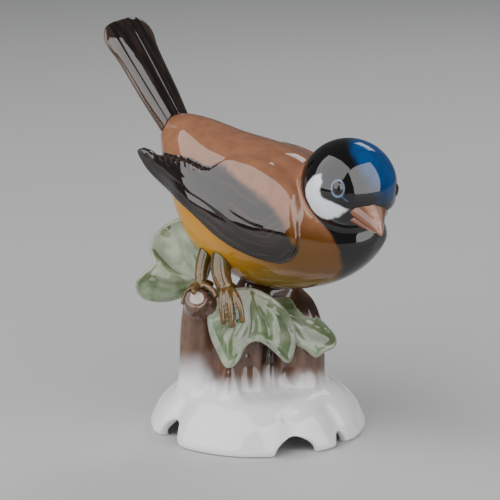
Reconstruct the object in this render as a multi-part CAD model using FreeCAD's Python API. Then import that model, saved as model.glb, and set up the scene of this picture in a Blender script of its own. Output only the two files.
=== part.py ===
"""A glazed porcelain songbird perched on a leafy stump, as the cast and hand-built pieces it is luted from.

Millimetres. +Z is up, -Y is the side that the figurine is shown from, and the origin is the middle of the
bounding box, on the table. Every piece is cut back by the pieces that it is stuck on, so neighbours meet
face to face.
"""

import FreeCAD
import Part
import math
import os

from FreeCAD import Base

Vec = Base.Vector
UP = Vec(0, 0, 1)

# Driving dimensions of the base
BASE_R = 27.5  # mean radius of the mound at the table
BASE_H = 12.0  # height of the mound
NECK_R = 17.5  # mean radius of the mound at its top
BASE_DEPTH = 0.955  # depth of the mound as a share of its width
BASE_WALL = 2.6
RIM_POINTS = 40  # points round the mound that its lobes are drawn through
RIM_TUCK = 1.3  # how far the rim rolls under at the table
# Notches between the feet: direction from +X towards -Y, half width, height, and how far they pinch the rim
NOTCHES = [
    (39.0, 2.2, 3.4, 1.2),
    (69.0, 5.6, 4.2, 0.8),
    (149.0, 4.2, 5.0, 2.2),
    (205.0, 4.5, 3.6, 1.2),
    (262.0, 7.0, 4.2, 1.0),
    (335.0, 3.0, 3.6, 1.2),
]

# Driving dimensions of the stump: each stem is a list of (centre, half width, half depth)
CORE = [
    (Vec(-2.6, 3, BASE_H), 12.2, 8.8),
    (Vec(-2, 3, 17), 10.8, 8.0),
    (Vec(-1, 2.5, 24), 9.5, 7.5),
    (Vec(1, 2.0, 32), 8.0, 6.5),
    (Vec(4, 1.4, 41), 5.8, 4.8),
]
TRUNKS = {
    "trunk_left": [
        (Vec(-15, -4, 7), 8.0, 8.0),
        (Vec(-14.8, -5, 12.5), 5.6, 5.8),
        (Vec(-14.9, -6, 20), 4.8, 4.8),
        (Vec(-15, -6.5, 29), 4.1, 4.2),
        (Vec(-15.2, -5.5, 37.5), 3.2, 3.2),
    ],
    "trunk_centre": [
        (Vec(-7.4, -13.4, 7), 4.6, 4.4),
        (Vec(-7, -12.4, 14), 2.7, 2.7),
        (Vec(-6.6, -11, 23), 2.3, 2.4),
        (Vec(-6, -9, 33), 2.4, 2.4),
    ],
    "trunk_inner": [
        (Vec(-1.2, -11.4, 7), 4.0, 4.0),
        (Vec(-1, -10, 14), 2.5, 2.5),
        (Vec(-0.8, -8.6, 23), 2.2, 2.4),
        (Vec(0.2, -7.6, 32), 2.4, 2.4),
    ],
    "trunk_right": [
        (Vec(9, -2.5, 7), 10.5, 10.0),
        (Vec(9.2, -2, 12.5), 8.2, 7.8),
        (Vec(9.4, -1.5, 20), 7.6, 6.9),
        (Vec(9.4, -1, 26), 7.0, 6.3),
        (Vec(8.8, 0.8, 30.5), 5.6, 5.0),
        (Vec(6.0, 2.4, 35), 4.0, 3.6),
        (Vec(4.8, 2.6, 41), 3.2, 3.2),
    ],
}
STUB = [
    (Vec(-15, -6.5, 31.5), 3.4, 3.4),
    (Vec(-15.1, -9.6, 34.6), 3.3, 3.2),
    (Vec(-15.2, -12.2, 37.0), 3.0, 3.0),
]
PERCH = [
    (Vec(-14, -9.0, 34.5), 3.0, 3.0),
    (Vec(-7, -8.4, 34.2), 2.6, 2.6),
    (Vec(2, -4.8, 33.4), 2.8, 2.8),
]

# Driving dimensions of the leaves
LEAF_T = 1.5
FRONT_LOBE_PITCH = 11.0  # from the crown of one draped lobe to the crown of the next

# Driving dimensions of the castings
CAST_WALL = 2.4  # wall of the slip-cast body, head and stump core
CORE_TOP_DROP = 8.5  # how far the stump core's cavity stops short of its top
CORE_CAVITY_DROP = 5.0  # how far that cavity carries on down through the mound's top
VENT_R = 1.5  # vent holes that join the hollow castings, so that no air is trapped in firing
BELLY_VENT = (Vec(2, 2, 24), Vec(2, 2, 46))
NECK_VENT_START = (14.0, 2.0, 0.0)

# Driving dimensions of the bird
BIRD_YAW = 35.0  # the body points to +X, turned this far towards -Y
BIRD_PITCH = 17.0  # chest lower than rump
BODY_CENTRE = Vec(3.2, 0, 58)
TAIL_COCK = 55.4  # the tail's rise above the horizontal
TAIL_ROLL = -9.0  # the tail turned about its length, so that its upper side shows
HEAD_R = 11.5
HEAD_YAW = 64.0  # the bill points this far round from +X towards -Y
HEAD_PITCH = 25.0  # the bill's fall below the horizontal
HEAD_ROLL = 9.0
EYE_R = 2.3
EYE_PROUD = 0.6
RELIEF = 1.3  # how far the folded wings stand proud of the body
WING_T = 2.2  # thickness of the wing tips, where they stand free of the rump
TOE_R = 0.8
LEFT_LEG_R = 1.45
RIGHT_LEG_R = 2.1

# Stations of the body: distance along its axis, centre height, half height, half width
BODY_SECTIONS = [
    (-35.0, 5.6, 2.4, 2.6),
    (-32.5, 5.0, 5.4, 5.6),
    (-28.0, 3.2, 8.6, 8.8),
    (-22.0, 0.3, 12.2, 12.2),
    (-14.0, -2.6, 15.8, 15.4),
    (-4.0, -2.9, 17.7, 17.0),
    (5.0, -2.5, 17.6, 17.0),
    (13.0, -1.8, 15.7, 15.5),
    (20.0, -0.9, 12.6, 12.8),
    (26.0, 0.9, 9.3, 9.4),
    (30.0, 3.2, 6.0, 6.2),
    (32.0, 4.9, 2.6, 2.8),
]
# The form that the wings are cut from carries on level past the narrowing rump
WING_TAIL_SECTIONS = [
    (-42.0, 0.5, 12.0, 7.4),
    (-32.0, 0.2, 12.4, 8.4),
    (-27.0, 0.2, 12.6, 9.9),
]
# Stations of the tail along its length: distance, half width, half thickness
TAIL_SECTIONS = [
    (-1.0, 4.6, 2.2),
    (8.0, 5.5, 1.7),
    (17.0, 6.5, 1.5),
    (27.0, 7.5, 1.3),
    (32.2, 7.8, 1.1),
    (34.4, 6.2, 0.9),
    (35.4, 3.6, 0.6),
]
# Outline of the folded wing seen square from the side: distance along the body's axis and height
WING_OUTLINE = [
    (17.9, -1.5), (15.2, -5.6), (10.9, -6.6), (5.0, -6.9), (-1.0, -6.5), (-8.0, -5.0), (-16.0, -3.9),
    (-24.0, -4.4), (-30.0, -3.9), (-34.6, -2.0), (-36.4, 0.2), (-34.6, 1.3), (-31.6, 1.3), (-27.6, 2.6),
    (-23.6, 4.2), (-19.1, 5.8), (-14.6, 6.3), (-11.6, 7.2), (-9.4, 10.2), (-5.6, 12.5), (0.0, 13.6),
    (6.9, 13.0), (12.9, 10.2), (16.4, 4.8),
]  # fmt: skip
# Stations of the two halves of the bill: distance from the head's centre, half width, half height, rise
UPPER_BILL = [(8.0, 6.2, 2.7, 0.4), (11.0, 4.8, 2.4, 0.3), (14.2, 2.9, 1.9, 0.0), (16.8, 1.4, 1.1, -0.3), (18.6, 0.45, 0.45, -0.6)]
LOWER_BILL = [(8.0, 5.4, 2.0, -2.0), (11.0, 4.1, 1.8, -1.9), (14.0, 2.3, 1.2, -1.6), (16.9, 0.5, 0.5, -1.1)]


def turned(v, axis, degrees):
    """v turned about axis by the right-hand rule."""
    return FreeCAD.Rotation(axis, degrees).multVec(v)


def flat(degrees):
    """The level direction that lies degrees from +X towards -Y."""
    a = math.radians(degrees)
    return Vec(math.cos(a), -math.sin(a), 0)


# The bird's own directions
FORWARD = flat(BIRD_YAW)
RIGHT = FORWARD.cross(UP)
AXIS = turned(FORWARD, RIGHT, -BIRD_PITCH)
DORSAL = RIGHT.cross(AXIS)


def bird(p, q, r):
    """The point p along the body's axis, q towards its back and r to its right."""
    return BODY_CENTRE + AXIS * p + DORSAL * q + RIGHT * r


# The head's own directions
HEAD_CENTRE = bird(20.2, 14.55, 0.95)
HEAD_LEVEL = flat(HEAD_YAW)
BILL = turned(HEAD_LEVEL, HEAD_LEVEL.cross(UP), -HEAD_PITCH)
HEAD_SIDE = turned(HEAD_LEVEL.cross(UP), BILL, -HEAD_ROLL)
CROWN = HEAD_SIDE.cross(BILL)

# The tail's own directions
TAIL_ROOT = bird(-29.0, 4.0, 0)
TAIL_WAY = turned(-FORWARD, RIGHT, -TAIL_COCK)
TAIL_SIDE = turned(RIGHT, TAIL_WAY, TAIL_ROLL)
TAIL_TOP = TAIL_WAY.cross(TAIL_SIDE)


def closed_curve(points):
    """A smooth closed wire through the points."""
    curve = Part.BSplineCurve()
    curve.interpolate(Points=points, PeriodicFlag=True)
    return Part.Wire(curve.toShape())


def ring(centre, u, v, a, b, power=2.0, count=16):
    """A closed wire round centre, a wide along u and b along v. A power over 2 squares it off."""
    points = []
    for i in range(count):
        t = 2 * math.pi * i / count
        c = math.cos(t)
        s = math.sin(t)
        x = math.copysign(abs(c) ** (2 / power), c) * a
        y = math.copysign(abs(s) ** (2 / power), s) * b
        points.append(centre + u * x + v * y)
    return closed_curve(points)


def loft(wires):
    return Part.makeLoft(wires, True, False)


def limb(stations):
    """A rounded limb through stations of (centre, half width, half depth), each square to its way."""
    wires = []
    for i, (centre, half_width, half_depth) in enumerate(stations):
        before = stations[max(i - 1, 0)][0]
        after = stations[min(i + 1, len(stations) - 1)][0]
        way = (after - before).normalize()
        side = way.cross(Vec(0.13, 1, 0.07)).normalize()
        wires.append(ring(centre, side, way.cross(side), half_width, half_depth, count=12))
    return loft(wires)


def cord(points, start_r, end_r):
    """A thin round limb through the points, tapering evenly."""
    last = len(points) - 1
    radii = [start_r + (end_r - start_r) * i / last for i in range(last + 1)]
    return limb([(point, r, r) for point, r in zip(points, radii, strict=True)])


def ellipsoid(centre, u, v, w, a, b, c):
    """A ball stretched to a along u, b along v and c along w."""
    m = FreeCAD.Matrix(
        u.x * a, v.x * b, w.x * c, centre.x,
        u.y * a, v.y * b, w.y * c, centre.y,
        u.z * a, v.z * b, w.z * c, centre.z,
        0, 0, 0, 1,
    )  # fmt: skip
    return Part.makeSphere(1.0).transformGeometry(m)


def vent(start, end):
    return Part.makeCylinder(VENT_R, (end - start).Length, start, end - start)


def prism(outline, lift, depth):
    """The closed outline, as points, pushed along lift by depth on both sides."""
    face = Part.Face(closed_curve([point - lift * depth for point in outline]))
    return face.extrude(lift * (2 * depth))


def trimmed(shape, *others):
    """The largest solid that is left of shape outside the others."""
    for other in others:
        if shape.BoundBox.intersect(other.BoundBox):
            shape = max(shape.cut(other).Solids, key=lambda solid: solid.Volume)
    return shape


# ---------------------------------------------------------------- base and stump


def mound_radius(degrees, level):
    """Radius of the mound in a direction, at a level from 0, the table, to 1, its top."""
    radius = NECK_R + (BASE_R - NECK_R) * (1 - level**1.6) ** 0.6
    for notch, half_width, _height, pinch in NOTCHES:
        gap = (degrees - notch + 180) % 360 - 180
        spread = math.degrees(half_width / BASE_R)
        radius -= pinch * math.exp(-((gap / spread) ** 2)) * (1 - level)
    return radius


def mound(inset=0.0):
    """The flowing mound, shrunk all round and on top by inset."""
    wires = []
    for level in (0.0, 0.1, 0.25, 0.45, 0.67, 0.86, 1.0):
        tuck = RIM_TUCK * max(0.0, 1 - level / 0.1)
        points = []
        for i in range(RIM_POINTS):
            degrees = 360 * i / RIM_POINTS
            radius = mound_radius(degrees, level) - tuck - inset
            out = flat(degrees) * radius
            points.append(Vec(out.x, out.y * BASE_DEPTH, level * (BASE_H - inset)))
        wires.append(closed_curve(points))
    return loft(wires)


def core_hollow():
    """The cavity of the stump core, which opens down through the top of the mound."""
    foot, half_width, half_depth = CORE[0]
    stations = [(foot - UP * CORE_CAVITY_DROP, half_width, half_depth), *CORE]
    inner = [(centre, a - CAST_WALL, b - CAST_WALL) for centre, a, b in stations]
    centre, a, b = inner[-1]
    inner[-1] = (centre - UP * CORE_TOP_DROP, a, b)
    return limb(inner)


def base_plinth(core_cavity):
    solid = mound().cut([mound(inset=BASE_WALL), core_cavity])
    for degrees, half_width, height, _pinch in NOTCHES:
        way = flat(degrees)
        arch = ellipsoid(Vec(way.x, way.y * BASE_DEPTH, 0) * BASE_R, way.cross(UP), UP, way, half_width, height, 9.0)
        solid = solid.cut(arch)
    return solid.Solids[0]


def slab(centre, facing, outline, rise):
    """A leaf LEAF_T thick: the outline cut from a sheet that rises by rise(u, v) towards facing.

    u runs level across the leaf, to the right as seen from its face, and v runs up it.
    """
    across = UP.cross(facing).normalize()
    upward = facing.cross(across)
    reach = max(max(abs(u), abs(v)) for u, v in outline) + 2.0
    steps = 14
    rows = []
    for i in range(steps + 1):
        row = []
        for j in range(steps + 1):
            u = reach * (2 * i / steps - 1)
            v = reach * (2 * j / steps - 1)
            row.append(centre + across * u + upward * v + facing * rise(u, v))
        rows.append(row)
    sheet = Part.BSplineSurface()
    sheet.interpolate(rows)
    block = sheet.toShape().extrude(facing * -LEAF_T)
    cutter = prism([centre + across * u + upward * v for u, v in outline], facing, 20.0)
    return block.common(cutter).Solids[0]


def leaf_left():
    """The big leaf beside the rump, folded down across its lower lobe."""
    outline = [
        (1.3, 9.8), (-2.0, 8.6), (-4.8, 6.4), (-6.3, 4.1), (-6.2, 1.3), (-4.9, -1.1), (-6.6, -3.5),
        (-8.6, -5.9), (-9.1, -8.0), (-8.0, -10.2), (-5.1, -11.2), (-1.4, -11.0), (2.4, -9.7), (7.0, -7.2),
        (9.6, -2.6), (8.6, 2.3), (5.5, 6.7),
    ]  # fmt: skip

    def rise(u, v):
        fold = -0.5 * math.sqrt((v + 5.2) ** 2 + 2.0)
        valley = 0.9 * math.exp(-(((u * 0.9 + v * 0.45 - 1.0) / 2.6) ** 2))
        return fold - valley

    return slab(Vec(-22, 0, 43.5), Vec(-0.25, -1, 0.15).normalize(), outline, rise)


def leaf_front():
    """The leaf draped over the front of the perch in two lobes, under the right foot."""
    outline = [
        (-10.0, 4.0), (-10.1, 0.8), (-9.1, -3.4), (-7.5, -6.9), (-5.5, -9.7), (-3.0, -8.0), (-1.0, -4.5),
        (1.2, -3.3), (4.9, -4.9), (7.6, -7.6), (9.5, -8.9), (10.9, -6.6), (11.4, -2.8), (10.3, 1.6),
        (8.0, 5.0), (4.7, 7.7), (0.5, 9.4), (-3.7, 9.5), (-9.0, 8.9),
    ]  # fmt: skip

    def rise(u, v):
        lobes = 0.9 * math.cos(2 * math.pi * (u + 5) / FRONT_LOBE_PITCH)
        drape = -0.03 * max(v - 3, 0) ** 2
        wrap = -0.022 * u * u
        return lobes + drape + wrap

    return slab(Vec(-2, -14, 30), Vec(0.05, -1, 0.22).normalize(), outline, rise)


def leaf_right():
    """The leaf over the right of the stump, folded down along its midrib."""
    outline = [
        (-7.3, 6.1), (-2.2, 6.4), (1.6, 5.5), (3.8, 3.2), (6.3, 0.0), (8.1, -2.8), (9.1, -5.9), (8.1, -7.9),
        (5.5, -8.7), (3.8, -9.5), (1.8, -7.7), (-0.3, -6.0), (-1.9, -3.9), (-3.4, -0.9), (-5.7, 3.0),
    ]  # fmt: skip

    def rise(u, v):
        beyond = (u + 6) * 0.68 + (v - 5) * 0.74
        return -0.45 * math.sqrt(beyond * beyond + 1.5)

    return slab(Vec(10, -7.5, 30.4), Vec(0.35, -1, 0.75).normalize(), outline, rise)


# ---------------------------------------------------------------- bird


def body_loft(sections, grow=0.0):
    """The bird's trunk through the sections, grown or shrunk all round."""
    wires = []
    for p, q, h, w in sections:
        if min(h, w) + grow > 0.8:
            wires.append(ring(bird(p, q, 0), RIGHT, DORSAL, w + grow, h + grow))
    return loft(wires)


def head_ball(inset=0.0):
    return ellipsoid(HEAD_CENTRE, BILL, HEAD_SIDE, CROWN, HEAD_R + 0.3 - inset, HEAD_R + 0.4 - inset, HEAD_R - inset)


def wing(side):
    """A folded wing, 1 on the bird's right and -1 on its left, as a plate that hugs the form it is cut from."""
    stations = WING_TAIL_SECTIONS + [s for s in BODY_SECTIONS if s[0] > -23]
    plate = body_loft(stations, RELIEF).cut(body_loft(stations, RELIEF - WING_T))
    depth = 14.0
    outline = [bird(p, q, side * depth) for p, q in WING_OUTLINE]
    return plate.common(prism(outline, RIGHT, depth - 1.0))


def tail():
    wires = []
    for distance, half_width, half_thickness in TAIL_SECTIONS:
        centre = TAIL_ROOT + TAIL_WAY * distance
        wires.append(ring(centre, TAIL_SIDE, TAIL_TOP, half_width, half_thickness, power=2.6))
    return loft(wires)


def mandible(stations):
    """Half of the bill, through stations of (distance, half width, half height, rise)."""
    wires = []
    for distance, half_width, half_height, rise in stations:
        centre = HEAD_CENTRE + BILL * distance + CROWN * rise
        wires.append(ring(centre, HEAD_SIDE, CROWN, half_width, half_height, count=12))
    return loft(wires)


def eye(side):
    """The bead of an eye, 1 on the bird's right and -1 on its left."""
    way = (BILL * 0.61 + HEAD_SIDE * (0.72 * side) + CROWN * 0.335).normalize()
    centre = HEAD_CENTRE + way * (HEAD_R + 0.2 + EYE_PROUD - EYE_R)
    return Part.makeSphere(EYE_R, centre)


def leg(points, girth):
    return cord(points, girth * 1.4, girth)


def toe(points):
    return cord(points, TOE_R + 0.15, TOE_R - 0.15)


LEFT_ANKLE = Vec(-14.2, -7.2, 39.6)
RIGHT_ANKLE = Vec(-8.0, -11.7, 39.6)
LEFT_LEG = [Vec(-11.5, -2.0, 49.0), Vec(-13.6, -4.4, 44.5), LEFT_ANKLE]
RIGHT_LEG = [Vec(-8.0, -6.2, 48.0), Vec(-9.2, -9.2, 43.6), RIGHT_ANKLE]
LEFT_TOES = [
    [LEFT_ANKLE, Vec(-16.4, -9.2, 38.6), Vec(-17.9, -10.6, 37.0), Vec(-18.5, -11.2, 35.0)],
    [LEFT_ANKLE, Vec(-15.2, -10.2, 38.9), Vec(-15.6, -12.2, 39.4), Vec(-15.8, -13.8, 38.6)],
    [LEFT_ANKLE, Vec(-12.8, -9.6, 39.3), Vec(-11.3, -11.4, 38.9), Vec(-10.3, -13.4, 37.6)],
    [LEFT_ANKLE, Vec(-12.9, -5.9, 39.3), Vec(-11.2, -5.2, 38.4)],
]
RIGHT_TOES = [
    [RIGHT_ANKLE, Vec(-8.8, -14.4, 38.6), Vec(-8.9, -16.2, 35.4), Vec(-8.4, -16.8, 31.6)],
    [RIGHT_ANKLE, Vec(-7.2, -14.6, 38.6), Vec(-6.7, -16.8, 35.4), Vec(-6.2, -17.4, 31.0)],
    [RIGHT_ANKLE, Vec(-5.8, -14.0, 38.8), Vec(-4.4, -16.2, 36.0), Vec(-3.8, -16.8, 32.0)],
    [RIGHT_ANKLE, Vec(-6.8, -9.6, 39.6), Vec(-5.6, -7.6, 38.2)],
]


def middle(shapes):
    """The level point under the middle of the bounding box of all the shapes, from their facets."""
    points = []
    for shape in shapes:
        points.extend(shape.tessellate(0.05)[0])
    xs = [point.x for point in points]
    ys = [point.y for point in points]
    return Vec((min(xs) + max(xs)) / 2, (min(ys) + max(ys)) / 2, 0)


def stump_parts(base_form, bird_form, belly_vent):
    """The base, the stems, the branches and the leaves, each cut back by those before it."""
    core_form = limb(CORE)
    core_cavity = core_hollow()
    parts = {
        "base_plinth": base_plinth(core_cavity),
        "stump_core": trimmed(core_form, core_cavity, belly_vent, bird_form),
    }
    stems = [core_form]
    for name, stations in TRUNKS.items():
        parts[name] = trimmed(limb(stations), base_form, bird_form, *stems)
        stems.append(parts[name])
    parts["branch_stub"] = trimmed(limb(STUB), parts["trunk_left"])
    parts["perch_branch"] = trimmed(limb(PERCH), bird_form, parts["branch_stub"], *stems)
    woody = [*stems, parts["branch_stub"], parts["perch_branch"]]
    parts["leaf_left"] = trimmed(leaf_left(), bird_form, *woody)
    parts["leaf_front"] = trimmed(leaf_front(), bird_form, *woody)
    parts["leaf_right"] = trimmed(leaf_right(), bird_form, parts["leaf_front"], *woody)
    return parts


def bird_parts(bird_form, belly_vent):
    """The bird's castings, with its wings, tail, bill and eyes stuck on."""
    head_form = head_ball()
    neck_vent = vent(bird(*NECK_VENT_START), HEAD_CENTRE)
    wing_right = trimmed(wing(1), bird_form, head_form)
    wing_left = trimmed(wing(-1), bird_form, head_form)
    beak_upper = trimmed(mandible(UPPER_BILL), head_form, bird_form)
    return {
        "body_shell": bird_form.cut(body_loft(BODY_SECTIONS, -CAST_WALL)).cut(neck_vent).cut(belly_vent).Solids[0],
        "head_shell": trimmed(head_form, bird_form, head_ball(CAST_WALL)),
        "beak_upper": beak_upper,
        "beak_lower": trimmed(mandible(LOWER_BILL), head_form, bird_form, beak_upper),
        "eye_right": trimmed(eye(1), head_form),
        "eye_left": trimmed(eye(-1), head_form),
        "wing_right": wing_right,
        "wing_left": wing_left,
        "tail": trimmed(tail(), bird_form, wing_right, wing_left),
    }


def foot_parts(name, leg_points, girth, toe_lines, bird_form, ground):
    """A leg and the group of its four toes, which rest on the solids of ground."""
    leg_solid = trimmed(leg(leg_points, girth), bird_form, *ground)
    toes = []
    for points in toe_lines:
        toes.append(trimmed(toe(points), leg_solid, *toes, *ground))
    return {f"leg_{name}": leg_solid, f"toes_{name}": Part.makeCompound(toes)}


def main():
    os.makedirs("parts", exist_ok=True)
    bird_form = body_loft(BODY_SECTIONS)
    belly_vent = vent(*BELLY_VENT)
    shapes = stump_parts(mound(), bird_form, belly_vent)
    shapes.update(bird_parts(bird_form, belly_vent))
    left_ground = [shapes[name] for name in ("branch_stub", "trunk_left", "perch_branch", "leaf_left", "leaf_front")]
    right_ground = [shapes[name] for name in ("perch_branch", "leaf_front")]
    shapes.update(foot_parts("left", LEFT_LEG, LEFT_LEG_R, LEFT_TOES, bird_form, left_ground))
    shapes.update(foot_parts("right", RIGHT_LEG, RIGHT_LEG_R, RIGHT_TOES, bird_form, right_ground))

    origin = middle(shapes.values())
    for name, shape in shapes.items():
        shape.translate(-origin)
        shape.exportStep(f"parts/{name}.step")
        print(name, shape.isValid(), len(shape.Solids), round(shape.Volume, 1))
    print("origin moved by", origin)


main()
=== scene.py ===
"""The looks of the glazed porcelain songbird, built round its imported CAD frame. Blender works in metres.

Mesh work is done in millimetres on numpy arrays and written back in metres. Every piece but the eyes starts
as a copy of its CAD nodes. The castings and stems are flowed together as glazed slip does, and all pieces get
relief and painted colours.
"""

import math

import bmesh
import bpy
import numpy as np
from mathutils import Matrix, Vector
from mathutils.bvhtree import BVHTree
from mathutils.kdtree import KDTree


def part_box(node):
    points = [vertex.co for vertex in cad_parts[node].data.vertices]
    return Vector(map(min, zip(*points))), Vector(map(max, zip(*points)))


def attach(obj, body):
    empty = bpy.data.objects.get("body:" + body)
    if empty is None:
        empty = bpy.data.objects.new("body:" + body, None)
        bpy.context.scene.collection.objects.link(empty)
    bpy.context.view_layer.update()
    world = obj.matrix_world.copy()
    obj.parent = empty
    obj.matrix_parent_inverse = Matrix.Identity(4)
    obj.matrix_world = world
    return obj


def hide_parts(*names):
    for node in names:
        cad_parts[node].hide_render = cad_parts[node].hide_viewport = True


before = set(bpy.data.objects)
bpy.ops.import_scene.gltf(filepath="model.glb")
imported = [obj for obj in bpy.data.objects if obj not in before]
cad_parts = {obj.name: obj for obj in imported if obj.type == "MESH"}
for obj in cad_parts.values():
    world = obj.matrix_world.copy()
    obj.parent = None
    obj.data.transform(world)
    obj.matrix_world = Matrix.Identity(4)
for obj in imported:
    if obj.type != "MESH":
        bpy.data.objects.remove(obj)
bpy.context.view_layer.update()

MM = 0.001
UP = np.array([0.0, 0.0, 1.0])


# ---------------------------------------------------------------- directions, as in the CAD model


def turned(v, axis, degrees):
    """v turned about axis by the right-hand rule."""
    return np.array(Matrix.Rotation(math.radians(degrees), 3, Vector(axis)) @ Vector(v))


def flat(degrees):
    """The level direction that lies degrees from +X towards -Y."""
    a = math.radians(degrees)
    return np.array([math.cos(a), -math.sin(a), 0.0])


def unit(v):
    v = np.asarray(v, float)
    return v / np.linalg.norm(v)


def box_mm(node):
    """Lowest and highest corner of a CAD node, in millimetres."""
    low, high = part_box(node)
    return np.array(low) / MM, np.array(high) / MM


def box_centre(node):
    low, high = box_mm(node)
    return (low + high) / 2


FORWARD = flat(35.0)
RIGHT = np.cross(FORWARD, UP)
AXIS = turned(FORWARD, RIGHT, -17.0)
DORSAL = np.cross(RIGHT, AXIS)
# From the CAD model's own coordinates to the frame: the mound's box is centred a little behind its origin
SHIFT = box_centre("base_plinth") * [1, 1, 0] + [0.0, 0.229, 0.0]
BODY_CENTRE = SHIFT + [3.2, 0.0, 58.0]

HEAD_RADIUS = 11.7
HEAD_LEVEL = flat(64.0)
BILL = turned(HEAD_LEVEL, np.cross(HEAD_LEVEL, UP), -25.0)
HEAD_SIDE = turned(np.cross(HEAD_LEVEL, UP), BILL, -9.0)
CROWN = np.cross(HEAD_SIDE, BILL)
HEAD_CENTRE = BODY_CENTRE + 20.2 * AXIS + 14.55 * DORSAL + 0.95 * RIGHT

TAIL_ROOT = BODY_CENTRE - 29.0 * AXIS + 4.0 * DORSAL
TAIL_WAY = turned(-FORWARD, RIGHT, -55.4)
TAIL_SIDE = turned(RIGHT, TAIL_WAY, -9.0)
TAIL_TOP = np.cross(TAIL_WAY, TAIL_SIDE)

# Voxel sizes in millimetres, finer on finer pieces
STUMP_VOXEL = 0.42
CASTING_VOXEL = 0.5
WING_VOXEL = 0.34
BIRD_VOXEL = 0.3
SPRIG_VOXEL = 0.24
FOOT_VOXEL = 0.17
BILL_VOXEL = 0.12

MOUND_TOP = 12.0  # the level where the mound's skin is parted from the stump's
EYE_RADIUS = 1.95


def design(x, y, z):
    """A point given as in the CAD model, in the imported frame."""
    return np.array([x, y, z], float) + SHIFT


def in_frame(points, origin, *axes):
    """Coordinates of the points along each axis, from the origin."""
    offset = points - origin
    return [offset @ axis for axis in axes]


# ---------------------------------------------------------------- mesh tools


def new_object(name, mesh):
    obj = bpy.data.objects.new(name, mesh)
    bpy.context.scene.collection.objects.link(obj)
    return obj


def cad_copy(name, *nodes):
    """One new object with the welded meshes of the CAD nodes."""
    bm = bmesh.new()
    for node in nodes:
        bm.from_mesh(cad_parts[node].data)
    bmesh.ops.remove_doubles(bm, verts=bm.verts, dist=0.002 * MM)
    mesh = bpy.data.meshes.new(name)
    bm.to_mesh(mesh)
    bm.free()
    return new_object(name, mesh)


def coords(obj):
    """The object's vertices in millimetres."""
    out = np.zeros(len(obj.data.vertices) * 3)
    obj.data.vertices.foreach_get("co", out)
    return out.reshape(-1, 3) / MM


def set_coords(obj, points):
    obj.data.vertices.foreach_set("co", (points * MM).ravel())
    obj.data.update()


def normals(obj):
    out = np.zeros(len(obj.data.vertices) * 3)
    obj.data.vertices.foreach_get("normal", out)
    return out.reshape(-1, 3)


def baked(obj):
    """Applies the object's modifiers to its mesh."""
    graph = bpy.context.evaluated_depsgraph_get()
    mesh = bpy.data.meshes.new_from_object(obj.evaluated_get(graph))
    old = obj.data
    obj.modifiers.clear()
    obj.data = mesh
    bpy.data.meshes.remove(old)


def remesh(obj, voxel):
    """Rebuilds the outer skin of everything in the object, with voxels of that size in millimetres."""
    mod = obj.modifiers.new("skin", "REMESH")
    mod.mode = "VOXEL"
    mod.voxel_size = voxel * MM
    mod.use_smooth_shade = True
    baked(obj)


def smooth(obj, rounds, share=1.0, hold=True):
    """Evens out the mesh, by share at each vertex. hold pushes back against shrinking."""
    points = coords(obj)
    count = len(points)
    edges = np.zeros(len(obj.data.edges) * 2, np.int64)
    obj.data.edges.foreach_get("vertices", edges)
    a, b = edges[0::2], edges[1::2]
    degree = np.maximum(np.bincount(a, minlength=count) + np.bincount(b, minlength=count), 1)
    weight = np.broadcast_to(np.asarray(share, float), (count,))
    steps = (0.6, -0.62) if hold else (0.6,)
    for _ in range(rounds):
        for step in steps:
            mean = np.empty_like(points)
            for k in range(3):
                total = np.bincount(a, points[b, k], count) + np.bincount(b, points[a, k], count)
                mean[:, k] = total / degree
            points += (step * weight)[:, None] * (mean - points)
    set_coords(obj, points)


def push(obj, amount):
    """Moves each vertex along its normal by amount, in millimetres."""
    set_coords(obj, coords(obj) + normals(obj) * np.asarray(amount)[..., None])


def fill_creases(obj, radius, voxel, where):
    """Rounds inner corners to about radius, where the function of points gives 1."""
    push(obj, radius * where(coords(obj)))
    remesh(obj, voxel)
    smooth(obj, 2)
    push(obj, -radius * where(coords(obj)))
    remesh(obj, voxel)


def join(name, *objects):
    """One object of all the others' meshes, in place of them."""
    bm = bmesh.new()
    for obj in objects:
        bm.from_mesh(obj.data)
    mesh = bpy.data.meshes.new(name)
    bm.to_mesh(mesh)
    bm.free()
    for obj in objects:
        bpy.data.objects.remove(obj)
    return new_object(name, mesh)


def solid_core(name, node, scale):
    """A closed lump that fills a hollow casting, so that its skin doesn't run in through the vent holes."""
    bm = bmesh.new()
    bm.from_mesh(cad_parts[node].data)
    hull = bmesh.ops.convex_hull(bm, input=bm.verts)
    inner = [v for v in hull["geom_interior"] if isinstance(v, bmesh.types.BMVert)]
    bmesh.ops.delete(bm, geom=inner, context="VERTS")
    centre = Vector(box_centre(node) * MM)
    for v in bm.verts:
        v.co = centre + (v.co - centre) * scale
    mesh = bpy.data.meshes.new(name)
    bm.to_mesh(mesh)
    bm.free()
    return new_object(name, mesh)


def ramp(x, low, high):
    """0 at low, 1 at high, with a smooth way between."""
    t = np.clip((np.asarray(x, float) - low) / (high - low), 0, 1)
    return t * t * (3 - 2 * t)


def outline_distance(x, y, outline):
    """Distance from each point to the closed outline, in its own units: positive inside."""
    best = np.full(x.shape, 1e9)
    inside = np.zeros(x.shape, bool)
    for (x0, y0), (x1, y1) in zip(outline, outline[1:] + outline[:1]):
        dx, dy = x1 - x0, y1 - y0
        t = np.clip(((x - x0) * dx + (y - y0) * dy) / (dx * dx + dy * dy), 0, 1)
        best = np.minimum(best, np.hypot(x - x0 - t * dx, y - y0 - t * dy))
        crosses = (y0 > y) != (y1 > y)
        if dy:
            inside ^= crosses & (x < x0 + (y - y0) * dx / dy)
    return np.where(inside, best, -best)


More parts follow.
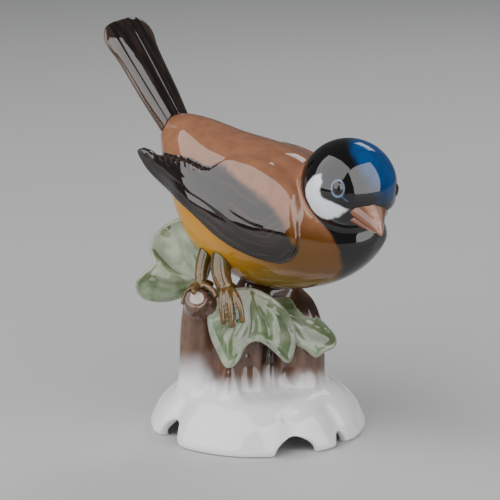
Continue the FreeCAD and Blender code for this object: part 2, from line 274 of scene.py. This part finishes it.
def line_distance(x, y, line):
    """Distance from each point to the open line."""
    best = np.full(x.shape, 1e9)
    for (x0, y0), (x1, y1) in zip(line, line[1:]):
        dx, dy = x1 - x0, y1 - y0
        t = np.clip(((x - x0) * dx + (y - y0) * dy) / (dx * dx + dy * dy), 0, 1)
        best = np.minimum(best, np.hypot(x - x0 - t * dx, y - y0 - t * dy))
    return best


def paint(obj, name, values):
    """Stores one number for each vertex, for the material to read."""
    layer = obj.data.attributes.new(name, "FLOAT", "POINT")
    layer.data.foreach_set("value", np.ascontiguousarray(values, np.float32))


# ---------------------------------------------------------------- materials


def rgb(red, green, blue):
    """A colour given as 0 to 255 screen values, as Blender's linear colour."""
    linear = []
    for value in (red, green, blue):
        c = value / 255
        linear.append(c / 12.92 if c < 0.04045 else ((c + 0.055) / 1.055) ** 2.4)
    return (*linear, 1.0)


class Paint:
    """Builds a glazed material: painted colours under one clear, glossy glaze."""

    def __init__(self, name):
        self.material = bpy.data.materials.new(name)
        self.material.use_nodes = True
        self.nodes = self.material.node_tree.nodes
        self.links = self.material.node_tree.links
        self.shader = self.nodes["Principled BSDF"]
        self.shader.inputs["Roughness"].default_value = 0.45
        self.shader.inputs["Specular IOR Level"].default_value = 0.0
        self.shader.inputs["Coat Weight"].default_value = 1.0
        self.shader.inputs["Coat Roughness"].default_value = 0.025
        self.shader.inputs["Coat IOR"].default_value = 1.52
        self.place = self.nodes.new("ShaderNodeTexCoord").outputs["Object"]

    def read(self, name):
        node = self.nodes.new("ShaderNodeAttribute")
        node.attribute_name = name
        return node.outputs["Fac"]

    def noise(self, size, detail=2.0, scale=None):
        """Noise from 0 to 1 with features of that size in millimetres, finer where scale is over 1."""
        place = self.place
        if scale is not None:
            node = self.nodes.new("ShaderNodeMapping")
            node.inputs["Scale"].default_value = scale
            self.links.new(place, node.inputs["Vector"])
            place = node.outputs["Vector"]
        node = self.nodes.new("ShaderNodeTexNoise")
        node.inputs["Scale"].default_value = 1 / (size * MM)
        node.inputs["Detail"].default_value = detail
        self.links.new(place, node.inputs["Vector"])
        return node.outputs["Fac"]

    def streaks(self, across, along, width, length):
        """Noise from 0 to 1, drawn out along feathers by two painted numbers, across and along."""
        node = self.nodes.new("ShaderNodeCombineXYZ")
        self.links.new(self.math("MULTIPLY", self.read(across), 1 / width), node.inputs["X"])
        self.links.new(self.math("MULTIPLY", self.read(along), 1 / length), node.inputs["Y"])
        grain = self.nodes.new("ShaderNodeTexNoise")
        grain.inputs["Scale"].default_value = 1.0
        grain.inputs["Detail"].default_value = 3.0
        self.links.new(node.outputs["Vector"], grain.inputs["Vector"])
        return grain.outputs["Fac"]

    def math(self, operation, a, b=0.0):
        node = self.nodes.new("ShaderNodeMath")
        node.operation = operation
        for socket, value in zip(node.inputs, (a, b)):
            if isinstance(value, (int, float)):
                socket.default_value = value
            else:
                self.links.new(value, socket)
        return node.outputs[0]

    def spread(self, value, low, high, to_low=0.0, to_high=1.0):
        """value from low..high to to_low..to_high, with soft ends."""
        node = self.nodes.new("ShaderNodeMapRange")
        node.interpolation_type = "SMOOTHSTEP"
        settings = {"From Min": low, "From Max": high, "To Min": to_low, "To Max": to_high}
        for label, number in settings.items():
            node.inputs[label].default_value = number
        self.links.new(value, node.inputs["Value"])
        return node.outputs["Result"]

    def brushed(self, name, softness, wander, size=1.6, detail=3.0):
        """1 inside a painted border, 0 outside, with a hand-brushed edge that wanders by so much."""
        drift = self.math("MULTIPLY", self.math("SUBTRACT", self.noise(size, detail), 0.5), 2 * wander)
        return self.spread(self.math("ADD", self.read(name), drift), -softness, softness)

    def mix(self, share, a, b):
        node = self.nodes.new("ShaderNodeMix")
        node.data_type = "RGBA"
        for index, value in ((0, share), (6, a), (7, b)):  # the factor and the two colour sockets
            socket = node.inputs[index]
            if isinstance(value, (int, float, tuple)):
                socket.default_value = value
            else:
                self.links.new(value, socket)
        return node.outputs[2]

    def colour(self, value):
        self.links.new(value, self.shader.inputs["Base Color"])

    def bump(self, height, strength, depth):
        """Relief in the glaze and the clay, depth in millimetres."""
        node = self.nodes.new("ShaderNodeBump")
        node.inputs["Strength"].default_value = strength
        node.inputs["Distance"].default_value = depth * MM
        self.links.new(height, node.inputs["Height"])
        self.links.new(node.outputs["Normal"], self.shader.inputs["Normal"])
        self.links.new(node.outputs["Normal"], self.shader.inputs["Coat Normal"])

    def ripple(self, depth=0.05):
        """The slow unevenness of fired glaze."""
        self.bump(self.noise(5.0, 1.5), 0.6, depth)


def put_on(obj, material):
    obj.data.materials.clear()
    obj.data.materials.append(material)
    for polygon in obj.data.polygons:
        polygon.use_smooth = True


# ---------------------------------------------------------------- mound and stump

STUMP_NODES = (
    "base_plinth", "stump_core", "trunk_left", "trunk_centre", "trunk_inner", "trunk_right", "branch_stub",
    "perch_branch",
)  # fmt: skip
# The front of the stems, seen from above: the hollows between them lie 2 to 6 mm behind it, and shade is
# painted in them
STUMP_FRONT_X = [-21, -15, -10, -7, -4, -1, 3, 9, 17]
STUMP_FRONT_Y = [-6, -10.4, -9.2, -12.4, -11.6, -11.2, -9.5, -8.4, -5]
NOTCH_DIRECTIONS = (39, 69, 149, 205, 262, 335)  # of the mound's rim, in degrees from +X towards -Y


def lobe_creases(points):
    """How far the mound dips in the soft creases that run up from its notches, in millimetres."""
    x, y, z = (points - SHIFT).T
    reach = np.hypot(x, y)
    dip = np.zeros(len(points))
    for degrees in NOTCH_DIRECTIONS:
        way = flat(degrees)
        aside = np.abs(x * way[1] - y * way[0])
        dip += np.where(x * way[0] + y * way[1] > 0, np.exp(-((aside / 2.8) ** 2)), 0.0)
    return 0.9 * dip * ramp(z, 2.5, 5.0) * ramp(z, 12.5, 9.0) * ramp(reach, 14.0, 19.0)


def stump_skin():
    """The mound and stems, run together as one glazed skin that is still hollow underneath."""
    skin = cad_copy("stump_skin", *STUMP_NODES)
    remesh(skin, STUMP_VOXEL)
    fill_creases(skin, 1.3, STUMP_VOXEL, lambda at: ramp(at[:, 2], 7.0, 10.5))
    smooth(skin, 6)
    level = coords(skin)[:, 2]
    smooth(skin, 30, ramp(level, 3.5, 8.0) * ramp(level, 30.0, 20.0), hold=False)
    # soft upright flutes, as modelled with a tool
    points = coords(skin)
    x, y, z = points.T
    flutes = np.sin(x * 1.5 + 0.06 * z) * 0.5 + np.sin(x * 0.9 + y * 1.3 + 1.0) * 0.5
    outside = ramp(z, 13.0, 19.0) * ramp(z, 38.0, 34.0)
    push(skin, 0.16 * flutes * outside - lobe_creases(points))
    smooth(skin, 4)
    return skin


def parted(skin, name, height, keep_above):
    """The part of the skin above or below a level, in millimetres, closed by a flat face."""
    bm = bmesh.new()
    bm.from_mesh(skin.data)
    cut = bmesh.ops.bisect_plane(
        bm, geom=bm.verts[:] + bm.edges[:] + bm.faces[:], plane_co=(0, 0, height * MM), plane_no=(0, 0, 1),
        clear_outer=not keep_above, clear_inner=keep_above,
    )  # fmt: skip
    rim = [e for e in cut["geom_cut"] if isinstance(e, bmesh.types.BMEdge)]
    bmesh.ops.triangle_fill(bm, use_beauty=True, use_dissolve=False, edges=rim)
    for edge in rim:
        edge.smooth = False
    bmesh.ops.recalc_face_normals(bm, faces=bm.faces)
    mesh = bpy.data.meshes.new(name)
    bm.to_mesh(mesh)
    bm.free()
    return new_object(name, mesh)


def stump_material():
    m = Paint("stump_glaze")
    white = m.mix(m.spread(m.noise(7.0), 0.3, 0.7), rgb(243, 243, 244), rgb(238, 239, 241))
    grain = m.noise(4.0, 3.0, (1.4, 1.4, 0.7))
    brown = m.mix(m.spread(grain, 0.35, 0.65), rgb(108, 78, 62), rgb(84, 59, 47))
    # painted shade: the brown darkens to a deep brown in the hollows between the stems
    brown = m.mix(m.brushed("hollow", 1.4, 0.5, 3.0), brown, rgb(56, 42, 33))
    cut_wood = m.mix(m.noise(1.0, 3.0), rgb(226, 212, 204), rgb(204, 184, 172))
    fade = m.brushed("brown", 3.4, 0.5, 5.0, 1.0)
    m.colour(m.mix(m.brushed("cut", 0.25, 0.25), m.mix(fade, white, brown), cut_wood))
    m.ripple()
    return m.material


def paint_stump(obj):
    """Where the brown begins above the white, the pale cut end, and the shade painted in the hollows between
    the stems.
    """
    points = coords(obj)
    x, y, z = (points - SHIFT).T
    left = ramp(x, -10.0, -14.0)
    start = 14.6 + 3.6 * left + 0.5 * np.sin(x * 0.7) + 0.3 * np.sin(x * 1.7 + y)
    paint(obj, "brown", (z - start) * 3.0 / (3.0 + 1.6 * left))
    # the stub's cut end, facing up and forwards
    way = unit([-0.1, -0.73, 0.67])
    end = points - design(-15.2, -12.9, 37.7)
    out = end @ way
    aside = np.linalg.norm(end - out[:, None] * way, axis=1)
    paint(obj, "cut", np.minimum(1.75 - aside, out + 2.2))
    # painted shade in the hollows 2 to 6 mm behind the stems' front, above 18 mm
    behind = y - np.interp(x, STUMP_FRONT_X, STUMP_FRONT_Y)
    paint(obj, "hollow", np.minimum(np.minimum(behind - 2.0, 6.0 - behind), z - 18.0))


# ---------------------------------------------------------------- leaves


def leaf_frame(centre, facing):
    """Origin and across, upward and facing directions of a leaf, as in the CAD model."""
    facing = unit(facing)
    across = unit(np.cross(UP, facing))
    return centre, across, np.cross(facing, across), facing


# For each leaf its frame, and where its ribs start in it, across and upwards
LEAVES = {
    "leaf_left": (leaf_frame(design(-22, 0, 43.5), (-0.25, -1, 0.15)), (8.0, -6.0)),
    "leaf_front": (leaf_frame(design(-2, -14, 30), (0.05, -1, 0.22)), (0.6, 9.0)),
    "leaf_right": (leaf_frame(design(10, -7.5, 30.4), (0.35, -1, 0.75)), (-6.0, 5.0)),
}


def rim_distance(obj, facing):
    """Distance in millimetres from each vertex to the leaf's edge."""
    points = coords(obj)
    sides = np.abs(normals(obj) @ facing) < 0.45
    tree = KDTree(int(sides.sum()))
    for number, point in enumerate(points[sides]):
        tree.insert(point, number)
    tree.balance()
    return np.array([tree.find(point)[2] for point in points])


def leaf(name):
    """A leaf with a rounded rim and soft ribs that fan out from its stalk."""
    (centre, across, upward, facing), stalk = LEAVES[name]
    obj = cad_copy(name + "_glazed", name)
    remesh(obj, SPRIG_VOXEL)
    rim = rim_distance(obj, facing)
    smooth(obj, 16)
    u, v = in_frame(coords(obj), centre, across, upward)
    du, dv = u - stalk[0], v - stalk[1]
    angle = np.arctan2(dv, du) + 0.05 * np.sin(np.hypot(du, dv) * 0.6)
    reach = np.hypot(du, dv)
    ribs = np.cos(angle * 13) + 0.4 * np.cos(angle * 29 + 1.0)
    away_from_rim = ramp(rim, 0.4, 2.4)
    push(obj, 0.13 * ribs * ramp(reach, 2.0, 7.0) * away_from_rim + 0.25 * ramp(rim, 1.6, 0.5))
    smooth(obj, 3)
    paint(obj, "rib", ribs)
    paint(obj, "reach", reach)
    paint(obj, "rim", rim)
    return obj


def leaf_material():
    m = Paint("leaf_glaze")
    pale, green, crease_shade_green = rgb(152, 162, 138), rgb(86, 108, 66), rgb(66, 72, 44)
    cloud = m.noise(5.0, 3.0)
    body = m.mix(m.spread(cloud, 0.25, 0.72), pale, green)
    # painted shade: the leaf darkens towards a deep green in the creases between its ribs and stays paler on
    # the ridges
    fine = m.math("ADD", m.read("rib"), m.math("MULTIPLY", m.noise(0.9, 3.0), 1.2))
    creases = m.spread(fine, 0.9, -0.6)
    body = m.mix(m.math("MULTIPLY", creases, 0.45), body, crease_shade_green)
    near_stalk = m.spread(m.math("ADD", m.read("reach"), m.math("MULTIPLY", cloud, 4.0)), 9.0, 3.0)
    body = m.mix(m.math("MULTIPLY", near_stalk, 0.55), body, rgb(112, 104, 72))
    # painted highlight: a pale band along the leaf's rim
    edge = m.spread(m.math("ADD", m.read("rim"), m.math("MULTIPLY", m.noise(1.5), 0.6)), 1.0, 0.5)
    m.colour(m.mix(m.math("MULTIPLY", edge, 0.55), body, rgb(170, 173, 158)))
    m.ripple()
    return m.material


# ---------------------------------------------------------------- bird

# Painted borders on the bird's side: distance along its axis and height, in millimetres
DARK_WING = [
    (19.5, -1.5), (15.2, -7.2), (10.9, -8.2), (5.0, -8.4), (-1.0, -8.0), (-8.0, -6.5), (-16.0, -5.4),
    (-24.0, -5.9), (-31.0, -5.4), (-38.0, -2.0), (-39.0, 2.5), (-30.0, 4.0), (-19.1, 8.0), (-12.0, 8.6),
    (-9.2, 9.6), (-5.1, 9.2), (-0.2, 8.4), (4.2, 8.1), (8.9, 7.0), (13.4, 4.7), (16.6, 1.3),
]  # fmt: skip
WING_LOWER_EDGE = [
    (17.9, -1.5), (15.2, -5.6), (10.9, -6.6), (5.0, -6.9), (-1.0, -6.5), (-8.0, -5.0), (-16.0, -3.9),
    (-24.0, -4.4), (-30.0, -3.9), (-34.6, -2.0), (-37.0, -0.5),
]  # fmt: skip
WING_TOP_EDGE = [
    (-34.6, 1.3), (-31.6, 1.3), (-27.6, 2.6), (-23.6, 4.2), (-19.1, 5.8), (-14.6, 6.3), (-11.6, 7.2),
]  # fmt: skip
# The black bib and hood begin this far along the axis, by height
HOOD_HEIGHTS = [-16.0, -11.5, -9.3, -3.1, 1.5, 4.6, 7.4, 9.3, 12.1, 13.9, 15.4, 18.0]
HOOD_STARTS = [22.0, 22.6, 25.2, 27.7, 27.0, 24.2, 19.7, 16.4, 12.6, 10.8, 10.5, 8.0]
# The white cheek, seen square from the side of the head: towards the bill and up, in head radii
CHEEK = [
    (0.0, 0.11), (0.05, 0.27), (0.16, 0.385), (0.29, 0.28), (0.34, 0.12), (0.455, 0.01), (0.594, 0.036),
    (0.736, 0.048), (0.875, 0.04), (0.83, -0.114), (0.778, -0.234), (0.627, -0.413), (0.474, -0.47),
    (0.33, -0.45), (0.2, -0.36), (0.05, -0.25), (-0.02, -0.1),
]  # fmt: skip
TEAR = [(0.66, 0.3), (0.74, 0.235), (0.82, 0.2)]  # the blue line from the eye's corner, in the same view
EYE_WAY = unit(0.6 * BILL + 0.72 * HEAD_SIDE + 0.35 * CROWN)
SIDES = {"right": 1, "left": -1}


def nearest(points, node):
    """Distance in millimetres from each point to the CAD node's surface."""
    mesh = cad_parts[node].data
    tree = BVHTree.FromPolygons([v.co for v in mesh.vertices], [p.vertices[:] for p in mesh.polygons])
    return np.array([tree.find_nearest(Vector(point * MM))[3] for point in points]) / MM


def from_head(points):
    """Distance in millimetres from each point to the head's centre."""
    return np.linalg.norm(points - HEAD_CENTRE, axis=1)


def bird_skin():
    """Body, head and wings under one glaze, flowed together where they meet."""
    skin = join(
        "bird_skin",
        cad_copy("castings", "body_shell", "head_shell"),
        solid_core("body_lump", "body_shell", 0.93),
        solid_core("head_lump", "head_shell", 0.86),
    )
    remesh(skin, CASTING_VOXEL)
    fill_creases(skin, 0.6, CASTING_VOXEL, lambda at: ramp(from_head(at), 18.0, 14.0))
    smooth(skin, 12)
    wings = cad_copy("wing_skins", "wing_left", "wing_right")
    remesh(wings, WING_VOXEL)
    smooth(wings, 14)
    skin = join("bird_skin", skin, wings)
    remesh(skin, BIRD_VOXEL)
    smooth(skin, 4)
    # the shoulders flow into the back, while the wing's lower and front edges stay crisp
    points = coords(skin)
    p, q = in_frame(points, BODY_CENTRE, AXIS, DORSAL)
    shoulder = ramp(p, -9.0, -4.0) * ramp(q, 4.0, 8.0) * ramp(from_head(points), 12.6, 14)
    smooth(skin, 60, shoulder, hold=False)
    return skin


def wing_relief(skin, on_wing):
    """Flight feathers that overlap along the wing's lower edge, and their tips along its upper rear edge.

    Gives each vertex's feather, counted from the lower edge, and 1 in the gaps between the tips.
    """
    p, q = in_frame(coords(skin), BODY_CENTRE, AXIS, DORSAL)
    wave = 0.3 * np.sin(p * 0.35) + 0.1 * np.sin(p * 0.8 + q)
    across = line_distance(p, q, WING_LOWER_EDGE) + wave
    lane = across / np.interp(p, [-36, -20, 0, 16], [1.6, 2.1, 2.7, 2.8])
    step = lane - np.floor(lane)
    shingle = ramp(step, 0.0, 0.3) * (1 - 0.8 * step)
    inner = ramp(outline_distance(p, q, DARK_WING), 0.0, 2.0) * ramp(p, 12.0, 4.0)
    tooth = (p + 1.2 * q) / 3.3
    from_middle = np.abs(tooth - np.floor(tooth) - 0.5)
    near_top = ramp(line_distance(p, q, WING_TOP_EDGE), 2.4, 0.4) * ramp(p, -10.0, -12.0)
    feathers = 0.11 * (shingle - 0.5) * inner
    gaps = 0.12 * ramp(from_middle, 0.05, 0.5) * near_top
    push(skin, (feathers - gaps) * on_wing)
    return lane, near_top * on_wing * ramp(from_middle, 0.2, 0.42)


def paint_bird(skin, on_wing, lane, tips):
    """Stores how far each vertex lies inside each painted border, for bird_material to blend at.

    p and q are along the body's axis and up from it. f, s and u are towards the bill, to the right and up on
    the head, as shares of the distance from its centre.
    """
    points = coords(skin)
    p, q = in_frame(points, BODY_CENTRE, AXIS, DORSAL)
    away = from_head(points)
    f, s, u = (part / away for part in in_frame(points, HEAD_CENTRE, BILL, HEAD_SIDE, CROWN))
    paint(skin, "along", p)
    paint(skin, "height", q)
    paint(skin, "lane", lane)
    paint(skin, "tips", tips)
    paint(skin, "dark", np.minimum(outline_distance(p, q, DARK_WING), 6 * (on_wing - 0.5)))
    paint(skin, "hood", 0.8 * (p - np.interp(q, HOOD_HEIGHTS, HOOD_STARTS)))
    on_head = 12.5 - away
    cheek = outline_distance(f, u, CHEEK) * HEAD_RADIUS
    paint(skin, "cheek", np.where(np.abs(s) > 0.25, np.minimum(cheek, on_head), -5.0))
    cap = 1 - np.sqrt(((f - 0.2) / 0.68) ** 2 + ((s + 0.2) / 0.55) ** 2)
    paint(skin, "cap", np.where(u > 0.2, cap * 6, -5.0))
    tear = 0.16 - line_distance(f, u, TEAR) * HEAD_RADIUS
    paint(skin, "tear", np.where(np.abs(s) > 0.3, tear, -5.0))
    for name, side in SIDES.items():
        way = eye_way(side)
        tall = eye_tall(side)
        ex, ey = in_frame(points, HEAD_CENTRE + way * HEAD_RADIUS, np.cross(tall, way), tall)
        eye = np.sqrt((ex / 1.7) ** 2 + (ey / 2.2) ** 2)
        ring = np.where(points @ way > HEAD_CENTRE @ way + 6, 1 - eye, -5.0)
        paint(skin, "ring_" + name, ring)


def wing_colour(m):
    """Nearly black feathers with brown streaks, darker where they overlap and paler between their tips."""
    grain = m.streaks("lane", "along", 0.42, 15.0)
    fore = m.spread(m.read("along"), -14.0, 2.0, 0.3, 0.9)
    streak = m.math("MULTIPLY", m.spread(grain, 0.46, 0.76), fore)
    wing = m.mix(streak, rgb(25, 21, 19), rgb(70, 50, 38))
    from_middle = m.math("ABSOLUTE", m.math("SUBTRACT", m.math("FRACT", m.read("lane")), 0.5))
    wing = m.mix(m.spread(from_middle, 0.42, 0.5, 0.0, 0.5), wing, rgb(12, 10, 10))
    return m.mix(m.spread(m.read("tips"), 0.5, 0.9, 0.0, 0.35), wing, rgb(96, 78, 66))


def bird_material():
    m = Paint("bird_glaze")
    drift = m.math("MULTIPLY", m.math("SUBTRACT", m.noise(5.0, 2.0), 0.5), 2.5)
    height = m.math("ADD", m.read("height"), drift)
    along = m.read("along")
    back = m.mix(m.spread(m.noise(3.5, 3.0), 0.35, 0.7), rgb(154, 106, 79), rgb(142, 95, 70))
    # The breast, ochre and belly colours are the bird's own; each darkens towards the front with painted
    # shade
    breast = m.mix(m.spread(along, 2.0, 20.0), rgb(144, 91, 30), rgb(92, 53, 12))
    ochre = m.mix(m.spread(along, -6.0, 20.0), rgb(190, 130, 18), rgb(98, 62, 6))
    belly = m.mix(m.spread(along, -12.0, 16.0), rgb(196, 140, 32), rgb(110, 84, 30))
    base = m.mix(m.spread(height, 1.5, 9.0), breast, back)
    base = m.mix(m.spread(height, 5.0, -2.0), base, ochre)
    base = m.mix(m.spread(height, -6.0, -12.0), base, belly)
    rump = m.mix(m.spread(along, -16.0, -24.0), base, m.mix(m.spread(height, -4.0, 1.5), base, back))
    colour = m.mix(m.brushed("dark", 0.9, 0.6), rump, wing_colour(m))
    black = m.mix(m.noise(3.0), rgb(14, 14, 14), rgb(20, 19, 18))
    colour = m.mix(m.brushed("hood", 0.45, 0.25, 3.0, 1.0), colour, black)
    blue = m.mix(m.spread(m.noise(3.0, 2.0), 0.3, 0.7), rgb(1, 62, 120), rgb(4, 74, 134))
    colour = m.mix(m.brushed("cap", 1.3, 0.4, 3.0), colour, blue)
    colour = m.mix(m.brushed("cheek", 0.35, 0.3, 1.0), colour, rgb(226, 229, 235))
    colour = m.mix(m.spread(m.read("tear"), -0.08, 0.08), colour, rgb(48, 78, 108))
    for name in SIDES:
        ring = m.read("ring_" + name)
        pale = m.math("MULTIPLY", m.spread(ring, -0.06, 0.03), m.spread(ring, 0.32, 0.2))
        colour = m.mix(pale, colour, rgb(98, 120, 148))
        colour = m.mix(m.spread(ring, 0.2, 0.32), colour, rgb(12, 12, 14))
    m.colour(colour)
    m.ripple()
    return m.material


# ---------------------------------------------------------------- tail


def tail():
    """A fan of overlapping feathers, which step down on each side from the middle one."""
    obj = cad_copy("tail_glazed", "tail")
    remesh(obj, SPRIG_VOXEL)
    smooth(obj, 12)
    x, top, along = in_frame(coords(obj), TAIL_ROOT, TAIL_SIDE, TAIL_TOP, TAIL_WAY)
    half = np.interp(along, [-1, 8, 17, 27, 34], [4.6, 5.5, 6.5, 7.5, 7.8])
    lane = np.abs(x / half) * 2.6 + 0.5
    step = lane - np.floor(lane)
    shingle = ramp(step, 0.0, 0.16) * 0.35 - 0.35 * step + 0.2 * np.cos(lane)
    push(obj, 0.3 * shingle * ramp(along, 0.0, 6.0) * np.where(top > 0, 1.0, 0.5))
    smooth(obj, 1)
    paint(obj, "lane", lane)
    paint(obj, "along", along)
    return obj


def tail_material():
    m = Paint("tail_glaze")
    grain = m.streaks("lane", "along", 0.5, 12.0)
    dark = m.mix(m.spread(grain, 0.42, 0.7), rgb(28, 23, 21), rgb(60, 47, 39))
    outer = m.spread(m.read("lane"), 2.3, 3.1, 0.0, 0.6)
    m.colour(m.mix(outer, dark, rgb(92, 70, 54)))
    m.ripple()
    return m.material


# ---------------------------------------------------------------- bill, eyes and feet


def small_part(name, nodes, voxel, rounds, crease=0.0):
    """The CAD nodes under one smooth skin, with their inner corners filled to the crease's radius."""
    obj = cad_copy(name, *nodes)
    remesh(obj, voxel)
    if crease:
        fill_creases(obj, crease, voxel, lambda at: np.ones(len(at)))
    smooth(obj, rounds)
    return obj


def bill_half(half):
    """Half of the bill: broad at the gape, with a ridge along the top of the upper one."""
    obj = small_part("bill_" + half, ["beak_" + half], BILL_VOXEL, 8)
    out, side, up = in_frame(coords(obj), HEAD_CENTRE, BILL, HEAD_SIDE, CROWN)
    wider = 0.04 * side * ramp(out, 13.5, 10.0)
    ridge = np.zeros(len(up))
    if half == "upper":
        ridge = 0.45 * np.exp(-((side / 0.9) ** 2)) * ramp(out, 10.0, 12.0) * ramp(up, 0.0, 1.0)
    set_coords(obj, coords(obj) + np.outer(wider, HEAD_SIDE) + np.outer(ridge, CROWN))
    smooth(obj, 2)
    out, side, up = in_frame(coords(obj), HEAD_CENTRE, BILL, HEAD_SIDE, CROWN)
    paint(obj, "flank", np.abs(side) - 0.55 * np.interp(out, [9.5, 14, 18.6], [5.6, 3.0, 0.4]))
    return obj


def bill_material():
    m = Paint("bill_glaze")
    light = m.mix(m.spread(m.noise(1.5, 3.0), 0.35, 0.7), rgb(196, 156, 138), rgb(176, 132, 112))
    m.colour(m.mix(m.brushed("flank", 0.9, 0.5), light, rgb(124, 80, 58)))
    m.ripple(0.02)
    return m.material


def eye_way(side):
    """The way the eye looks: side is 1 for the right one, -1 for the left one."""
    return EYE_WAY - (1 - side) * (EYE_WAY @ HEAD_SIDE) * HEAD_SIDE


def eye_tall(side):
    """The eye's taller direction, which leans back at the top."""
    way = eye_way(side)
    tall = -0.577 * BILL + 0.816 * CROWN
    return unit(tall - (tall @ way) * way)


def eye_ball(side_name, side):
    """A glossy bead a little proud of the head."""
    way = eye_way(side)
    tall = eye_tall(side)
    centre = HEAD_CENTRE + way * 10.3
    bm = bmesh.new()
    bmesh.ops.create_uvsphere(bm, u_segments=96, v_segments=64, radius=1.0)
    mesh = bpy.data.meshes.new("eye_bead_" + side_name)
    bm.to_mesh(mesh)
    bm.free()
    obj = new_object("eye_bead_" + side_name, mesh)
    axes = EYE_RADIUS * np.array([np.cross(tall, way) * 0.98, tall * 1.2, way])
    unit_points = coords(obj) * MM
    set_coords(obj, centre + unit_points @ axes)
    aim = unit(way + 0.1 * BILL - 0.04 * CROWN)
    paint(obj, "pupil", (coords(obj) - centre) @ aim / EYE_RADIUS)
    return obj


def eye_material():
    m = Paint("eye_glaze")
    iris = m.mix(m.spread(m.noise(0.5, 2.0), 0.3, 0.7), rgb(62, 42, 30), rgb(34, 26, 22))
    m.colour(m.mix(m.spread(m.read("pupil"), 0.88, 0.92), iris, rgb(6, 6, 8)))
    m.ripple(0.01)
    return m.material


def foot_material():
    m = Paint("foot_glaze")
    tone = m.mix(m.spread(m.noise(0.9, 3.0), 0.3, 0.7), rgb(120, 90, 44), rgb(82, 60, 30))
    m.colour(m.mix(m.spread(m.read("height"), 42.0, 45.5), tone, rgb(84, 70, 28)))
    m.ripple(0.02)
    return m.material


# ---------------------------------------------------------------- making the object


def place(obj, material, slot, *nodes):
    """Finishes the piece with the material and hides the CAD nodes that it stands for. The slot is not used.
    """
    put_on(obj, material)
    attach(obj, "root")
    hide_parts(*nodes)


def build():
    skin = stump_skin()
    glaze = stump_material()
    mound = parted(skin, "mound_glazed", MOUND_TOP, False)
    stump = parted(skin, "stump_glazed", MOUND_TOP, True)
    bpy.data.objects.remove(skin)
    paint_stump(mound)
    paint_stump(stump)
    place(mound, glaze, "white_glaze", "base_plinth")
    place(stump, glaze, "bark_paint", *STUMP_NODES[1:])

    green = leaf_material()
    for name in LEAVES:
        place(leaf(name), green, "leaf_paint", name)

    bird = bird_skin()
    near_wing = np.minimum(nearest(coords(bird), "wing_left"), nearest(coords(bird), "wing_right"))
    on_wing = ramp(near_wing, 0.9, 0.4)
    lane, tips = wing_relief(bird, on_wing)
    smooth(bird, 1)
    paint_bird(bird, on_wing, lane, tips)
    place(bird, bird_material(), "body_paint", "body_shell", "head_shell", "wing_left", "wing_right")
    place(tail(), tail_material(), "tail_paint", "tail")

    bill = bill_material()
    for half in ("upper", "lower"):
        place(bill_half(half), bill, "bill_paint", "beak_" + half)
    eye = eye_material()
    for name, side in SIDES.items():
        place(eye_ball(name, side), eye, "eye_paint", "eye_" + name)
    foot = foot_material()
    for name in ("left", "right"):
        nodes = ["leg_" + name, "toes_" + name]
        obj = small_part("foot_" + name, nodes, FOOT_VOXEL, 4, 0.3)
        paint(obj, "height", coords(obj)[:, 2])
        place(obj, foot, "foot_paint", *nodes)


# ---------------------------------------------------------------- floor, light and camera


FLOOR_HALF_SIZE = 4.0
# The mirrored light stands in front of the one that lights the colours: in the same place it isn't seen
GLOW_AWAY = 0.7
GLOSS_AWAY = 0.66
CAMERA_AWAY = 0.6
CAMERA_TILT = math.radians(15.0)
CAMERA_LENS = 172.8


def floor():
    """A plain pale table top."""
    bm = bmesh.new()
    bmesh.ops.create_grid(bm, x_segments=2, y_segments=2, size=FLOOR_HALF_SIZE)
    mesh = bpy.data.meshes.new("floor")
    bm.to_mesh(mesh)
    bm.free()
    obj = new_object("floor", mesh)
    material = bpy.data.materials.new("floor_paper")
    material.use_nodes = True
    nodes, links = material.node_tree.nodes, material.node_tree.links
    shader = nodes["Principled BSDF"]
    shader.inputs["Roughness"].default_value = 0.6
    grain = nodes.new("ShaderNodeTexNoise")
    grain.inputs["Scale"].default_value = 60
    tint = nodes.new("ShaderNodeMapRange")
    tint.inputs["To Min"].default_value = 0.53
    tint.inputs["To Max"].default_value = 0.57
    links.new(grain.outputs["Fac"], tint.inputs["Value"])
    links.new(tint.outputs["Result"], shader.inputs["Base Color"])
    obj.data.materials.append(material)


def softbox(name, way, size, glow, gloss, target):
    """A rectangular studio light: glow lights the painted colours, gloss is what the glaze mirrors."""
    way = Vector(way).normalized()
    for use, radiance, away in (("glow", glow, GLOW_AWAY), ("gloss", gloss, GLOSS_AWAY)):
        data = bpy.data.lights.new(f"{name}_{use}", "AREA")
        data.shape = "RECTANGLE"
        data.size, data.size_y = size
        data.energy = radiance * size[0] * size[1] * math.pi
        light = bpy.data.objects.new(data.name, data)
        light.location = target + way * away
        light.rotation_euler = way.to_track_quat("Z", "Y").to_euler()
        light.visible_camera = False
        light.visible_diffuse = use == "glow"
        light.visible_glossy = use == "gloss"
        bpy.context.scene.collection.objects.link(light)


def light_and_camera():
    target = Vector(design(-2, 0, 46) * MM)
    softbox("key_left", (-0.66, -0.42, 0.6), (1.0, 0.95), 2.6, 3.9, target)
    softbox("fill_right", (0.66, -0.66, 0.4), (0.85, 0.95), 1.3, 4.6, target)
    softbox("top_back", (0.36, 0.7, 0.62), (0.24, 0.16), 11.0, 3.4, target)
    world = bpy.data.worlds.new("studio")
    world.use_nodes = True
    background = world.node_tree.nodes["Background"]
    background.inputs["Color"].default_value = (0.5, 0.52, 0.55, 1)
    background.inputs["Strength"].default_value = 0.25
    bpy.context.scene.world = world

    data = bpy.data.cameras.new("camera")
    data.sensor_width = 36.0
    data.lens = CAMERA_LENS
    data.clip_start = 0.01
    camera = bpy.data.objects.new("camera", data)
    back_and_up = Vector((0, -math.cos(CAMERA_TILT), math.sin(CAMERA_TILT)))
    camera.location = target + back_and_up * CAMERA_AWAY
    camera.rotation_euler = (math.pi / 2 - CAMERA_TILT, 0, 0)
    bpy.context.scene.collection.objects.link(camera)
    bpy.context.scene.camera = camera


build()
floor()
light_and_camera()

bpy.context.view_layer.update()
